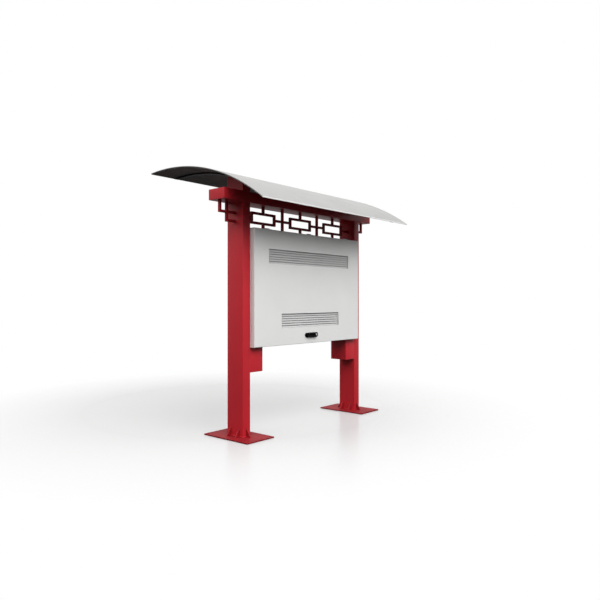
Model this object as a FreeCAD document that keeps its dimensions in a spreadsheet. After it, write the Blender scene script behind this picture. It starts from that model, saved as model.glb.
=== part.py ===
import FreeCAD
import Part
import Sketcher
import os
import re
from FreeCAD import Placement, Rotation, Vector

# A digital signage kiosk: two posts on base plates carry a display cabinet, a lintel beam with fret
# brackets and an arched roof that leans out over the screen. Millimetres, +Z up. The screen faces +Y
# and the service door faces -Y. The origin is on the ground, under the middle of the roof.

SIZES = [
    # Posts and feet
    ("post_line", -187.7),
    ("post_pitch", 1798),
    ("post_width", 97),
    ("post_depth", 213),
    ("post_wall", 5),
    ("plate_width", 352),
    ("plate_length", 596),
    ("plate_thick", 12),
    ("anchor_margin", 30),
    ("anchor_hole", 18),
    ("gusset_reach", 56),
    ("gusset_rise", 74),
    ("gusset_thick", 10),
    ("gusset_tip", 6),
    ("gusset_spread", 114),
    # Lintel beam
    ("beam_rise", 100),
    ("beam_length", 2360),
    ("beam_wall", 4),
    ("beam_cap_thick", 4),
    # Arched roof
    ("roof_length", 2397),
    ("roof_radius", 2325),
    ("crown_rise", 286),
    ("crown_ahead", 738.4),
    ("roof_front_angle", 6.06),
    ("roof_rear_angle", 35.41),
    ("sheet_thick", 8),
    ("lining_thick", 6),
    ("lining_margin", 0.3),
    ("rib_rise", 16),
    ("rib_width", 56),
    ("rib_margin", 0.1),
    # Fretwork
    ("fret_rise", 240),
    ("fret_bar", 24),
    ("fret_bays", 3),
    ("ring_length", 346),
    ("ring_rise", 119),
    ("bracket_outer_reach", 204),
    ("bracket_inner_reach", 119),
    ("bracket_upper_drop", 113),
    ("bracket_lower_drop", 193),
    # Cabinet
    ("cabinet_base", 849),
    ("cabinet_rise", 1137),
    ("cabinet_rear", 120.7),
    ("cabinet_front", 168),
    ("cabinet_wall", 3),
    ("block_reach", 167),
    ("block_rise", 238),
    ("bezel_width", 58),
    ("bezel_thick", 12),
    ("glass_thick", 6),
    ("glass_margin", 2),
    ("module_depth", 88),
    ("module_side_gap", 35),
    ("module_end_gap", 45),
    ("rail_width", 60),
    ("rail_depth", 40),
    ("rail_pitch", 900),
    ("seal_width", 20),
    ("seal_thick", 6),
    # Service door
    ("door_gap", 3),
    ("door_depth", 40),
    ("door_skin", 3),
    ("upper_vent_length", 1306),
    ("upper_vent_rise", 144),
    ("upper_vent_base", 805),
    ("lower_vent_length", 940),
    ("lower_vent_rise", 144),
    ("lower_vent_base", 171),
    ("vent_frame", 2.5),
    ("vent_recess", 1.5),
    ("vent_depth", 28),
    ("louvre_count", 6),
    ("louvre_width", 26),
    ("louvre_thick", 2),
    ("louvre_tilt", 62),
    ("louvre_setback", 9),
    # Hinge along the top of the door
    ("hinge_pitch", 640),
    ("knuckle_radius", 6),
    ("knuckle_length", 30),
    ("knuckle_gap", 1),
    ("hinge_rise", 7.5),
    ("hinge_pin_radius", 3),
    ("hinge_pin_gap", 0.05),
    ("leaf_reach", 32),
    ("leaf_thick", 2.5),
    # Door lock
    ("lock_centre", -8),
    ("lock_height", 86),
    ("lock_plate_length", 213),
    ("lock_plate_width", 48),
    ("lock_plate_thick", 6),
    ("lock_pivot_offset", 57),
    ("lever_length", 148),
    ("lever_width", 34),
    ("lever_thick", 14),
    ("lever_gap", 5),
    ("lever_head_radius", 21),
    ("spindle_radius", 6),
    ("spindle_gap", 0.05),
    ("spindle_tail", 12),
    ("key_radius", 9),
    ("key_depth", 10),
    ("key_proud", 1),
]
NAMES = dict(SIZES)

doc = FreeCAD.newDocument("signage_kiosk")
sheet = doc.addObject("Spreadsheet::Sheet", "Sizes")
for row, (alias, value) in enumerate(SIZES, 1):
    sheet.set(f"A{row}", alias)
    sheet.set(f"B{row}", str(value))
    sheet.setAlias(f"B{row}", alias)
doc.recompute()

# Heights and places that several pieces share, written in the sheet's names
FACE_X = "(post_pitch / 2 - post_width / 2)"
POST_REAR = "(post_line - post_depth / 2)"
CABINET_TOP = "(cabinet_base + cabinet_rise)"
BEAM_BASE = "(cabinet_base + cabinet_rise + fret_rise)"
BEAM_TOP = "(cabinet_base + cabinet_rise + fret_rise + beam_rise)"
CABINET_WIDTH = "(post_pitch - post_width)"
CABINET_BACK = "(post_line - cabinet_rear)"
CABINET_NOSE = "(post_line + cabinet_front)"
GLASS_BACK = "(post_line + cabinet_front - bezel_thick - glass_thick)"
MODULE_BACK = "(post_line + cabinet_front - bezel_thick - glass_thick - module_depth)"
DOOR_BACK = "(post_line - cabinet_rear - door_gap)"
DOOR_FACE = "(post_line - cabinet_rear - door_gap - door_depth)"
ARC_Y = "(post_line + crown_ahead)"
ARC_Z = f"({BEAM_TOP} + crown_rise - roof_radius)"
FRET_MIDDLE = "(cabinet_base + cabinet_rise + fret_rise / 2)"
BAY = "((post_pitch - post_width) / fret_bays)"
LOCK_X = "(lock_centre + lock_pivot_offset)"
LOCK_Z = "(cabinet_base + lock_height)"
HINGE_Z = "(cabinet_base + cabinet_rise + hinge_rise)"
HINGE_Y = "(post_line - cabinet_rear - door_gap)"

SIDES = (("left", -1), ("right", 1))
parts = []


def sized(words):
    """The sheet's names in an expression, each given its sheet."""
    return re.sub(r"[a-z][a-z_]+", lambda m: f"Sizes.{m[0]}" if m[0] in NAMES else m[0], str(words))


def bind(item, **sizes):
    """Tie properties of an item to the sheet."""
    for name, words in sizes.items():
        item.setExpression(name, sized(words))


def place(item, x, y, z):
    """Tie an item's position to the sheet; its turn stays as it is."""
    for axis, words in zip("xyz", (x, y, z)):
        item.setExpression(f"Placement.Base.{axis}", sized(words))


def keep(item, label):
    """Mark an item as a finished sub-part and name it."""
    item.Label = label
    parts.append(item)
    return item


def box(name, length, width, height, x, y, z):
    """A block by its three sizes and its low corner."""
    item = doc.addObject("Part::Box", name)
    bind(item, Length=length, Width=width, Height=height)
    place(item, x, y, z)
    return item


def rod(name, radius, height, x, y, z, rotation=Rotation()):
    """A round bar from a point along its turned Z axis."""
    item = doc.addObject("Part::Cylinder", name)
    item.Placement = Placement(Vector(), rotation)
    bind(item, Radius=radius, Height=height)
    place(item, x, y, z)
    return item


def fuse(name, items):
    """Several solids joined, or kept together where they don't touch."""
    item = doc.addObject("Part::MultiFuse", name)
    item.Shapes = items
    item.Refine = True
    return item


def cut(name, base, tool):
    """One solid with another taken out of it."""
    item = doc.addObject("Part::Cut", name)
    item.Base = base
    item.Tool = tool
    return item


def common(name, base, tool):
    """What two solids share."""
    item = doc.addObject("Part::Common", name)
    item.Base = base
    item.Tool = tool
    return item


ALONG_X = Rotation(Vector(0, 1, 0), 90)
TOWARDS_DOOR = Rotation(Vector(1, 0, 0), 90)


def base_plate(side, sign):
    """A flat foot under each post, drilled for four anchors."""
    centre = f"{sign} * post_pitch / 2"
    slab = box(
        f"{side}_plate_slab", "plate_width", "plate_length", "plate_thick",
        f"{centre} - plate_width / 2", "post_line - plate_length / 2", "0",
    )
    drills = []
    for across in (-1, 1):
        for along in (-1, 1):
            drills.append(rod(
                f"{side}_anchor_drill", "anchor_hole / 2", "plate_thick * 3",
                f"{centre} + {across} * (plate_width / 2 - anchor_margin)",
                f"post_line + {along} * (plate_length / 2 - anchor_margin)", "-plate_thick",
            ))
    keep(cut(f"{side}_plate_cut", slab, fuse(f"{side}_drills", drills)), f"{side}_base_plate")


def gussets(side, sign):
    """Triangular stiffeners round the foot: two on each long face and one on each short face."""
    centre = f"{sign} * post_pitch / 2"
    upright = Rotation(Vector(1, 0, 0), 90)
    spots = []
    for out in (-1, 1):
        for along in (-1, 1):
            x = f"{centre} + {out} * post_width / 2"
            y = f"post_line + {along} * gusset_spread / 2 + {out} * gusset_thick / 2"
            spots.append((90 - 90 * out, x, y))
        x = f"{centre} - {out} * gusset_thick / 2"
        spots.append((90 * out, x, f"post_line + {out} * post_depth / 2"))
    wedges = []
    for turn, x, y in spots:
        wedge = doc.addObject("Part::Wedge", f"{side}_gusset")
        wedge.Placement = Placement(Vector(), Rotation(Vector(0, 0, 1), turn) * upright)
        for name in ("Xmin", "Ymin", "Zmin", "X2min", "Z2min"):
            bind(wedge, **{name: "0"})
        bind(wedge, Xmax="gusset_reach", Ymax="gusset_rise", Zmax="gusset_thick")
        bind(wedge, X2max="gusset_tip", Z2max="gusset_thick")
        place(wedge, x, y, "plate_thick")
        wedges.append(wedge)
    keep(fuse(f"{side}_gusset_set", wedges), f"{side}_gussets")


def tube(name, length, width, height, x, y, z, wall, hollow_along):
    """A rectangular tube, open at both ends along X or Z."""
    outside = box(f"{name}_outside", length, width, height, x, y, z)
    sizes = [length, width, height]
    corner = [x, y, z]
    for axis in range(3):
        if "XYZ"[axis] != hollow_along:
            sizes[axis] = f"{sizes[axis]} - 2 * {wall}"
            corner[axis] = f"{corner[axis]} + {wall}"
        else:
            sizes[axis] = f"{sizes[axis]} + 2 * {wall}"
            corner[axis] = f"{corner[axis]} - {wall}"
    inside = box(f"{name}_inside", *sizes, *corner)
    return cut(name, outside, inside)


def post(side, sign):
    """The rectangular tube that stands on its foot and carries the beam."""
    keep(tube(
        f"{side}_post_tube", "post_width", "post_depth", f"{BEAM_BASE} - plate_thick",
        f"{sign} * post_pitch / 2 - post_width / 2", POST_REAR, "plate_thick",
        "post_wall", "Z",
    ), f"{side}_post")


def support_block(side, sign):
    """The block on the post's inner face that the cabinet rests on."""
    keep(box(
        f"{side}_block", "block_reach", "post_depth", "block_rise",
        f"{sign} * {FACE_X} - (1 + {sign}) / 2 * block_reach", POST_REAR, "cabinet_base - block_rise",
    ), f"{side}_support_block")


def lintel_beam():
    """The tube across both posts, past them at each end, and its two end caps."""
    keep(tube(
        "beam_tube", "beam_length - 2 * beam_cap_thick", "post_depth", "beam_rise",
        "beam_cap_thick - beam_length / 2", POST_REAR, BEAM_BASE, "beam_wall", "X",
    ), "lintel_beam")
    for side, sign in SIDES:
        keep(box(
            f"{side}_cap", "beam_cap_thick", "post_depth", "beam_rise",
            f"{sign} * (beam_length - beam_cap_thick) / 2 - beam_cap_thick / 2", POST_REAR, BEAM_BASE,
        ), f"{side}_beam_cap")


def arc_band(name, outer, inner, length, x, trim="0"):
    """A band between two arcs about the roof's axis, ended by radial faces at both eaves."""
    start = f"(90 - roof_front_angle + {trim})"
    sweep = f"(roof_front_angle + roof_rear_angle - 2 * {trim})"
    turned = f"rotation(vector(1; 1; 1); 120) * rotation(vector(0; 0; 1); {start})"
    disc = doc.addObject("Part::Cylinder", f"{name}_disc")
    bind(disc, Radius=outer, Height=length, Angle=sweep)
    disc.setExpression("Placement", sized(f"placement(vector({x}; {ARC_Y}; {ARC_Z}); {turned})"))
    core = rod(f"{name}_core", inner, f"{length} + 2 * sheet_thick",
               f"{x} - sheet_thick", ARC_Y, ARC_Z, ALONG_X)
    return cut(name, disc, core)


def roof():
    """The arched sheet with the dark lining under it."""
    under_sheet = "roof_radius - sheet_thick"
    keep(arc_band("sheet_band", "roof_radius", under_sheet, "roof_length", "-roof_length / 2"),
         "roof_sheet")
    keep(arc_band("lining_band", under_sheet, f"{under_sheet} - lining_thick",
                  "roof_length - 2 * sheet_thick", "sheet_thick - roof_length / 2", "lining_margin"),
         "roof_lining")


def rib_and_stub(side, sign):
    """The arched rib over each post and the short length of post that carries it."""
    outer = "roof_radius - sheet_thick - lining_thick"
    inner = f"{outer} - rib_rise"
    centre = f"{sign} * post_pitch / 2"
    keep(arc_band(f"{side}_rib_band", outer, inner, "rib_width",
                  f"({centre} - rib_width / 2)", "rib_margin"), f"{side}_roof_rib")
    length = tube(
        f"{side}_stub_tube", "post_width", "post_depth", "crown_rise",
        f"{centre} - post_width / 2", POST_REAR, BEAM_TOP, "post_wall", "Z",
    )
    under_rib = rod(f"{side}_stub_arc", inner, "post_width * 3",
                    f"{centre} - post_width * 3 / 2", ARC_Y, ARC_Z, ALONG_X)
    keep(common(f"{side}_stub_cut", length, under_rib), f"{side}_roof_stub")


def fret_panel(side, index):
    """One bay of the fret between beam and cabinet: a ring held by four short bars."""
    centre = f"({BAY} * ({index} + 0.5) - {FACE_X})"
    depth = "post_line - fret_bar / 2"
    name = f"{side}_fret"
    ring = cut(
        f"{name}_ring",
        box(f"{name}_ring_outside", "ring_length", "fret_bar", "ring_rise",
            f"{centre} - ring_length / 2", depth, f"{FRET_MIDDLE} - ring_rise / 2"),
        box(f"{name}_ring_inside", "ring_length - 2 * fret_bar", "fret_bar * 3",
            "ring_rise - 2 * fret_bar", f"{centre} - ring_length / 2 + fret_bar",
            f"{depth} - fret_bar", f"{FRET_MIDDLE} - ring_rise / 2 + fret_bar"),
    )
    stub_rise = "(fret_rise - ring_rise) / 2"
    items = [ring]
    for z in (CABINET_TOP, f"{FRET_MIDDLE} + ring_rise / 2"):
        items.append(box(f"{name}_stub", "fret_bar", "fret_bar", stub_rise,
                         f"{centre} - fret_bar / 2", depth, z))
    left_end = f"({BAY} * {index} - {FACE_X} + {int(index > 0)} * fret_bar / 2)"
    right_end = f"({BAY} * ({index} + 1) - {FACE_X} - {int(index < 2)} * fret_bar / 2)"
    items.append(box(f"{name}_tie", f"{centre} - ring_length / 2 - {left_end}", "fret_bar", "fret_bar",
                     left_end, depth, f"{FRET_MIDDLE} - fret_bar / 2"))
    items.append(box(f"{name}_tie", f"{right_end} - {centre} - ring_length / 2", "fret_bar", "fret_bar",
                     f"{centre} + ring_length / 2", depth, f"{FRET_MIDDLE} - fret_bar / 2"))
    keep(fuse(f"{name}_set", items), f"{side}_fret_panel")


def fret_bars():
    """The full-height bars between the bays."""
    bars = []
    for index in range(1, int(NAMES["fret_bays"])):
        bars.append(box("fret_divider", "fret_bar", "fret_bar", "fret_rise",
                        f"{BAY} * {index} - {FACE_X} - fret_bar / 2",
                        "post_line - fret_bar / 2", CABINET_TOP))
    keep(fuse("fret_dividers", bars), "fret_divider_bars")


def fret_bracket(side, sign):
    """The stepped corner fret outside a post: two hanging bars, each tied back to the post."""
    outer_face = "(post_pitch / 2 + post_width / 2)"
    depth = "post_line - fret_bar / 2"
    items = []
    for reach, drop in (("bracket_outer_reach", "bracket_upper_drop"),
                        ("bracket_inner_reach", "bracket_lower_drop")):
        bar_x = f"{sign} * ({outer_face} + {reach} - fret_bar / 2) - fret_bar / 2"
        items.append(box(f"{side}_hanging_bar", "fret_bar", "fret_bar", drop,
                         bar_x, depth, f"{BEAM_BASE} - {drop}"))
        items.append(box(f"{side}_bracket_tie", reach, "fret_bar", "fret_bar",
                         f"{sign} * ({outer_face} + {reach} / 2) - {reach} / 2", depth,
                         f"{BEAM_BASE} - {drop}"))
    keep(fuse(f"{side}_bracket_set", items), f"{side}_fret_bracket")


def cabinet():
    """The sheet-metal housing between the posts: top, bottom and two sides, open front and back."""
    body_depth = "cabinet_rear + cabinet_front"
    for label, z in (("cabinet_bottom", "cabinet_base"),
                     ("cabinet_top", f"{CABINET_TOP} - cabinet_wall")):
        keep(box(f"{label}_sheet", CABINET_WIDTH, body_depth, "cabinet_wall",
                 f"-{FACE_X}", CABINET_BACK, z), label)
    for side, sign in SIDES:
        keep(box(
            f"{side}_wall_sheet", "cabinet_wall", body_depth, "cabinet_rise - 2 * cabinet_wall",
            f"{sign} * ({FACE_X} - cabinet_wall / 2) - cabinet_wall / 2", CABINET_BACK,
            "cabinet_base + cabinet_wall",
        ), f"cabinet_{side}_wall")


def screen():
    """The bezel, the glass behind it, the display module and the two rails that carry it."""
    inner_width = f"({CABINET_WIDTH} - 2 * cabinet_wall)"
    inner_rise = "(cabinet_rise - 2 * cabinet_wall)"
    floor = "(cabinet_base + cabinet_wall)"
    bezel_y = f"{CABINET_NOSE} - bezel_thick"
    for label, z in (("bezel_bottom", floor), ("bezel_top", f"{floor} + {inner_rise} - bezel_width")):
        keep(box(f"{label}_bar", inner_width, "bezel_thick", "bezel_width",
                 f"-{inner_width} / 2", bezel_y, z), label)
    for side, sign in SIDES:
        keep(box(
            f"bezel_{side}_bar", "bezel_width", "bezel_thick", f"{inner_rise} - 2 * bezel_width",
            f"{sign} * ({inner_width} / 2 - bezel_width / 2) - bezel_width / 2", bezel_y,
            f"{floor} + bezel_width",
        ), f"bezel_{side}")
    keep(box(
        "glass_pane", f"{inner_width} - 2 * glass_margin", "glass_thick", f"{inner_rise} - glass_margin",
        f"glass_margin - {inner_width} / 2", GLASS_BACK, floor,
    ), "screen_glass")
    keep(box(
        "module_case", f"{inner_width} - 2 * module_side_gap", "module_depth",
        f"{inner_rise} - 2 * module_end_gap", f"module_side_gap - {inner_width} / 2", MODULE_BACK,
        f"{floor} + module_end_gap",
    ), "display_module")
    for side, sign in SIDES:
        keep(box(
            f"{side}_rail_bar", "rail_width", "rail_depth", inner_rise,
            f"{sign} * rail_pitch / 2 - rail_width / 2", f"{MODULE_BACK} - rail_depth", floor,
        ), f"{side}_module_rail")


def door_seal():
    """The soft strip round the door opening, inside the housing."""
    inner_width = f"({CABINET_WIDTH} - 2 * cabinet_wall)"
    inner_rise = "(cabinet_rise - 2 * cabinet_wall)"
    outside = box("seal_outside", inner_width, "seal_thick", inner_rise,
                  f"-{inner_width} / 2", CABINET_BACK, "cabinet_base + cabinet_wall")
    inside = box("seal_inside", f"{inner_width} - 2 * seal_width", "seal_thick * 3",
                 f"{inner_rise} - 2 * seal_width", f"seal_width - {inner_width} / 2",
                 f"{CABINET_BACK} - seal_thick", "cabinet_base + cabinet_wall + seal_width")
    keep(cut("seal_ring", outside, inside), "door_seal")


def rectangle(sketch, width, height, centre_x, centre_y):
    """A closed rectangle in a sketch, sized and placed by the sheet."""
    first = sketch.GeometryCount
    corners = [Vector(-1, -1), Vector(1, -1), Vector(1, 1), Vector(-1, 1)]
    for start, end in zip(corners, corners[1:] + corners[:1]):
        sketch.addGeometry(Part.LineSegment(start, end))
    for step in range(4):
        sketch.addConstraint(Sketcher.Constraint("Coincident", first + step, 2, first + (step + 1) % 4, 1))
        sketch.addConstraint(Sketcher.Constraint("Vertical" if step % 2 else "Horizontal", first + step))
    sizes = (
        (("DistanceX", first, 1, first, 2, 2.0), width),
        (("DistanceY", first + 1, 1, first + 1, 2, 2.0), height),
        (("DistanceX", -1, 1, first, 1, -1.0), f"{centre_x} - {width} / 2"),
        (("DistanceY", -1, 1, first, 1, -1.0), f"{centre_y} - {height} / 2"),
    )
    for constraint, words in sizes:
        number = sketch.addConstraint(Sketcher.Constraint(*constraint))
        sketch.setExpression(f"Constraints[{number}]", sized(words))


def circle(sketch, radius, centre_x, centre_y):
    """A circle in a sketch, sized and placed by the sheet."""
    number = sketch.addGeometry(Part.Circle(Vector(0.5, 0.5, 0), Vector(0, 0, 1), 1))
    sizes = (
        (("Radius", number, 1.0), radius),
        (("DistanceX", -1, 1, number, 3, 0.5), centre_x),
        (("DistanceY", -1, 1, number, 3, 0.5), centre_y),
    )
    for constraint, words in sizes:
        index = sketch.addConstraint(Sketcher.Constraint(*constraint))
        sketch.setExpression(f"Constraints[{index}]", sized(words))


def flat_sketch(body, name, role):
    """A sketch on one of a body's own origin planes."""
    sketch = body.newObject("Sketcher::SketchObject", name)
    plane = next(item for item in body.Origin.OriginFeatures if item.Role == role)
    sketch.AttachmentSupport = (plane, [""])
    sketch.MapMode = "FlatFace"
    return sketch


def service_door():
    """The rear door: a folded tray, cut for the two vents and the lock spindle."""
    body = doc.addObject("PartDesign::Body", "service_door_body")
    outline = flat_sketch(body, "door_outline", "XZ_Plane")
    rectangle(outline, CABINET_WIDTH, "cabinet_rise", "0", "cabinet_rise / 2")
    tray = body.newObject("PartDesign::Pad", "door_tray")
    tray.Profile = outline
    bind(tray, Length="door_depth")
    doc.recompute()
    hollow = flat_sketch(body, "door_hollow", "XZ_Plane")
    rectangle(hollow, f"({CABINET_WIDTH} - 2 * door_skin)", "(cabinet_rise - 2 * door_skin)",
              "0", "cabinet_rise / 2")
    inside = body.newObject("PartDesign::Pocket", "door_inside")
    inside.Profile = hollow
    inside.Reversed = True
    bind(inside, Length="door_depth - door_skin")
    doc.recompute()
    openings = flat_sketch(body, "door_openings", "XZ_Plane")
    rectangle(openings, "upper_vent_length", "upper_vent_rise", "0",
              "(upper_vent_base + upper_vent_rise / 2)")
    rectangle(openings, "lower_vent_length", "lower_vent_rise", "0",
              "(lower_vent_base + lower_vent_rise / 2)")
    circle(openings, "spindle_radius + spindle_gap", LOCK_X, "lock_height")
    through = body.newObject("PartDesign::Pocket", "door_cutouts")
    through.Profile = openings
    through.Reversed = True
    bind(through, Length="door_depth * 2")
    doc.recompute()
    place(body, "0", DOOR_BACK, "cabinet_base")
    keep(body, "service_door")


def vent_grille(which):
    """A louvred grille set in a cut-out of the door: a frame with tilted slats."""
    length = f"{which}_vent_length"
    rise = f"{which}_vent_rise"
    low = f"(cabinet_base + {which}_vent_base)"
    face = f"({DOOR_FACE} + vent_recess)"
    frame = cut(
        f"{which}_frame",
        box(f"{which}_frame_outside", length, "vent_depth", rise, f"-{length} / 2", face, low),
        box(f"{which}_frame_inside", f"{length} - 2 * vent_frame", "vent_depth * 3",
            f"{rise} - 2 * vent_frame", f"vent_frame - {length} / 2", f"{face} - vent_depth",
            f"{low} + vent_frame"),
    )
    items = [frame]
    pitch = f"(({rise} - 2 * vent_frame) / louvre_count)"
    for index in range(int(NAMES["louvre_count"])):
        slat = doc.addObject("Part::Box", f"{which}_slat")
        bind(slat, Length=f"{length} - vent_frame", Width="louvre_width", Height="louvre_thick")
        middle_z = f"({low} + vent_frame + {pitch} * ({index} + 0.5))"
        middle_y = f"({face} + louvre_setback + louvre_width / 2 * cos(louvre_tilt))"
        y = f"{middle_y} - louvre_width / 2 * cos(louvre_tilt) + louvre_thick / 2 * sin(louvre_tilt)"
        z = f"{middle_z} - louvre_width / 2 * sin(louvre_tilt) - louvre_thick / 2 * cos(louvre_tilt)"
        slat.setExpression("Placement", sized(
            f"placement(vector(vent_frame / 2 - {length} / 2; {y}; {z});"
            f" rotation(vector(1; 0; 0); louvre_tilt))"
        ))
        items.append(slat)
    keep(fuse(f"{which}_grille", items), f"{which}_vent_grille")


def hinge():
    """Three hinges on the door's top edge: knuckles on the housing and on the door, with pins."""
    lift = f"({HINGE_Z} - {CABINET_TOP})"
    fixed = []
    moving = []
    pins = []
    bores = []
    for index in (-1, 0, 1):
        centre = f"{index} * hinge_pitch"
        fixed.append(knuckle("fixed", centre, "knuckle_length", 1))
        for out in (-1, 1):
            beside = f"{centre} + {out} * (3 * knuckle_length / 4 + knuckle_gap)"
            moving.append(knuckle("door", beside, "knuckle_length / 2", -1))
        span = "(2 * knuckle_length + 2 * knuckle_gap)"
        pins.append(rod("hinge_pin", "hinge_pin_radius", span, f"{centre} - {span} / 2",
                        HINGE_Y, HINGE_Z, ALONG_X))
    for group in ("fixed", "door"):
        bores.append(rod(f"{group}_bore", "hinge_pin_radius + hinge_pin_gap", "4 * hinge_pitch",
                         "-2 * hinge_pitch", HINGE_Y, HINGE_Z, ALONG_X))
    keep(cut("fixed_knuckle_set", fuse("fixed_knuckles", fixed), bores[0]), "fixed_hinge_knuckles")
    keep(cut("door_knuckle_set", fuse("door_knuckles", moving), bores[1]), "door_hinge_knuckles")
    keep(fuse("hinge_pin_set", pins), "hinge_pins")


def knuckle(name, centre, length, sign):
    """A barrel over the seam, its web and the flat leaf; sign 1 lies on the housing, -1 on the door."""
    barrel = rod(f"{name}_barrel", "knuckle_radius", length, f"{centre} - {length} / 2",
                 HINGE_Y, HINGE_Z, ALONG_X)
    start = f"({HINGE_Y} + (1 + {sign}) / 2 * door_gap)"
    leaf_x = f"{centre} - {length} / 2"
    leaf = box(f"{name}_leaf", length, "leaf_reach", "leaf_thick", leaf_x,
               f"{start} - (1 - {sign}) / 2 * leaf_reach", CABINET_TOP)
    web_y = f"{HINGE_Y} - (1 - {sign}) / 2 * knuckle_radius"
    web = box(f"{name}_web", length, "knuckle_radius", "leaf_thick", leaf_x, web_y,
              f"{HINGE_Z} - knuckle_radius")
    return fuse(f"{name}_knuckle", [barrel, leaf, web])


def door_lock():
    """The oblong lock plate, the lever that turns on it and the key cylinder in the lever's head."""
    half = "(lock_plate_length / 2 - lock_plate_width / 2)"
    plate_y = f"({DOOR_FACE} - lock_plate_thick)"
    items = [box("plate_middle", f"2 * {half}", "lock_plate_thick", "lock_plate_width",
                 f"lock_centre - {half}", plate_y, f"{LOCK_Z} - lock_plate_width / 2")]
    for out in (-1, 1):
        items.append(rod("plate_end", "lock_plate_width / 2", "lock_plate_thick",
                         f"lock_centre + {out} * {half}", DOOR_FACE, LOCK_Z, TOWARDS_DOOR))
    bore = rod("plate_bore", "spindle_radius + spindle_gap", "lock_plate_thick * 3",
               LOCK_X, f"{DOOR_FACE} + lock_plate_thick", LOCK_Z, TOWARDS_DOOR)
    keep(cut("plate_bored", fuse("plate_outline", items), bore), "lock_plate")

    lever_back = f"({plate_y} - lever_gap)"
    reach = "(lever_length - lever_width / 2)"
    arm = box("lever_arm", reach, "lever_thick", "lever_width", f"{LOCK_X} - {reach}",
              f"{lever_back} - lever_thick", f"{LOCK_Z} - lever_width / 2")
    tip = rod("lever_tip", "lever_width / 2", "lever_thick", f"{LOCK_X} - {reach}", lever_back,
              LOCK_Z, TOWARDS_DOOR)
    head = rod("lever_head", "lever_head_radius", "lever_thick", LOCK_X, lever_back, LOCK_Z, TOWARDS_DOOR)
    spindle_length = "(lever_thick / 2 + lever_gap + lock_plate_thick + door_skin + spindle_tail)"
    spindle = rod("lever_spindle", "spindle_radius", spindle_length, LOCK_X,
                  f"{lever_back} - lever_thick / 2 + {spindle_length}", LOCK_Z, TOWARDS_DOOR)
    socket = rod("key_socket", "key_radius", "key_depth * 2", LOCK_X,
                 f"{lever_back} - lever_thick + key_depth", LOCK_Z, TOWARDS_DOOR)
    keep(cut("lever_bored", fuse("lever_outline", [arm, tip, head, spindle]), socket), "lock_lever")
    keep(rod("key_barrel", "key_radius", "key_depth + key_proud", LOCK_X,
             f"{lever_back} - lever_thick + key_depth", LOCK_Z, TOWARDS_DOOR), "key_cylinder")


for side_name, side_sign in SIDES:
    base_plate(side_name, side_sign)
    gussets(side_name, side_sign)
    post(side_name, side_sign)
    support_block(side_name, side_sign)
    rib_and_stub(side_name, side_sign)
    fret_bracket(side_name, side_sign)
lintel_beam()
roof()
for bay_number, bay_name in enumerate(("left", "middle", "right")):
    fret_panel(bay_name, bay_number)
fret_bars()
cabinet()
screen()
door_seal()
service_door()
vent_grille("upper")
vent_grille("lower")
hinge()
door_lock()
doc.recompute()

for item in doc.Objects:
    if "Invalid" in item.State or "Error" in item.State:
        raise RuntimeError(f"{item.Name} ({item.Label}) did not build: {item.State}")
for item in parts:
    if item.Shape.isNull() or not item.Shape.isValid() or not item.Shape.Solids:
        raise RuntimeError(f"{item.Label} has no valid solid")
os.makedirs("parts", exist_ok=True)
for item in parts:
    item.Shape.exportStep(f"parts/{item.Label}.step")
    print(f"{item.Label}: {len(item.Shape.Solids)} solid(s), {item.Shape.Volume / 1000:.1f} cm3")
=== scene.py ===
import math
from typing import NamedTuple

import bmesh
import bpy
import numpy as np
from bpy.props import FloatProperty, FloatVectorProperty, IntProperty, PointerProperty
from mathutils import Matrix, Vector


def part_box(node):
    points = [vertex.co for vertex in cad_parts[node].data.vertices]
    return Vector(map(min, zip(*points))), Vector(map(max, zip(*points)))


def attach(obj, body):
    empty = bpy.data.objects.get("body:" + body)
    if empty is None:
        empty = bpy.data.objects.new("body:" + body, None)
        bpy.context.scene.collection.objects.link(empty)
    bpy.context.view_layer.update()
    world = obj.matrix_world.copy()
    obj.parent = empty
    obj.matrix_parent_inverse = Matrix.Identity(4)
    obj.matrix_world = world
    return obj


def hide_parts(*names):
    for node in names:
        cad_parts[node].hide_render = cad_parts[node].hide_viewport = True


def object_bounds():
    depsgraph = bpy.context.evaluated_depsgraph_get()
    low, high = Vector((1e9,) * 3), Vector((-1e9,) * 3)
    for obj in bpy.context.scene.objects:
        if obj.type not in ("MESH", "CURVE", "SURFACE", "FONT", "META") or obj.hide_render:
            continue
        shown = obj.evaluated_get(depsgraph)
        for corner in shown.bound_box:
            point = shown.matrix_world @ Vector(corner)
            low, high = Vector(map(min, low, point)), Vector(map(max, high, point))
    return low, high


bl_info = {
    "name": "Signage Kiosk Finish",
    "version": (1, 0, 0),
    "blender": (4, 5, 0),
    "location": "3D View > Sidebar > Kiosk",
    "description": "Dresses the signage kiosk's steelwork, roof, cabinet, door and screen",
    "category": "Object",
}

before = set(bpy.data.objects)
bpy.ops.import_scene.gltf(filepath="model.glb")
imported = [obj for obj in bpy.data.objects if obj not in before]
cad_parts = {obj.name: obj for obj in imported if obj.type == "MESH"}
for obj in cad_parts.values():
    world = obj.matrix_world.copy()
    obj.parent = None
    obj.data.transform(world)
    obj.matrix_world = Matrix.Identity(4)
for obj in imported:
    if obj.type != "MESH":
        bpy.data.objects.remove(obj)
CAD_LOW, CAD_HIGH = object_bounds()

SIDES = ("left", "right")
X, Y, Z = 0, 1, 2
FULL_TURN = 2 * math.pi

# How finely the surfaces are divided
CORNER_STEPS, EDGE_STEPS, FOLD_STEPS = 4, 3, 5
ARC_STEPS, OUTLINE_STEPS, TURNED_SIDES = 96, 96, 32
BEAD_SIDES, BEAD_STEPS, BEAD_CORNER_STEPS = 8, 5, 6
SLAT_STEPS, SWAGE_STEPS = 9, 16

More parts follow.
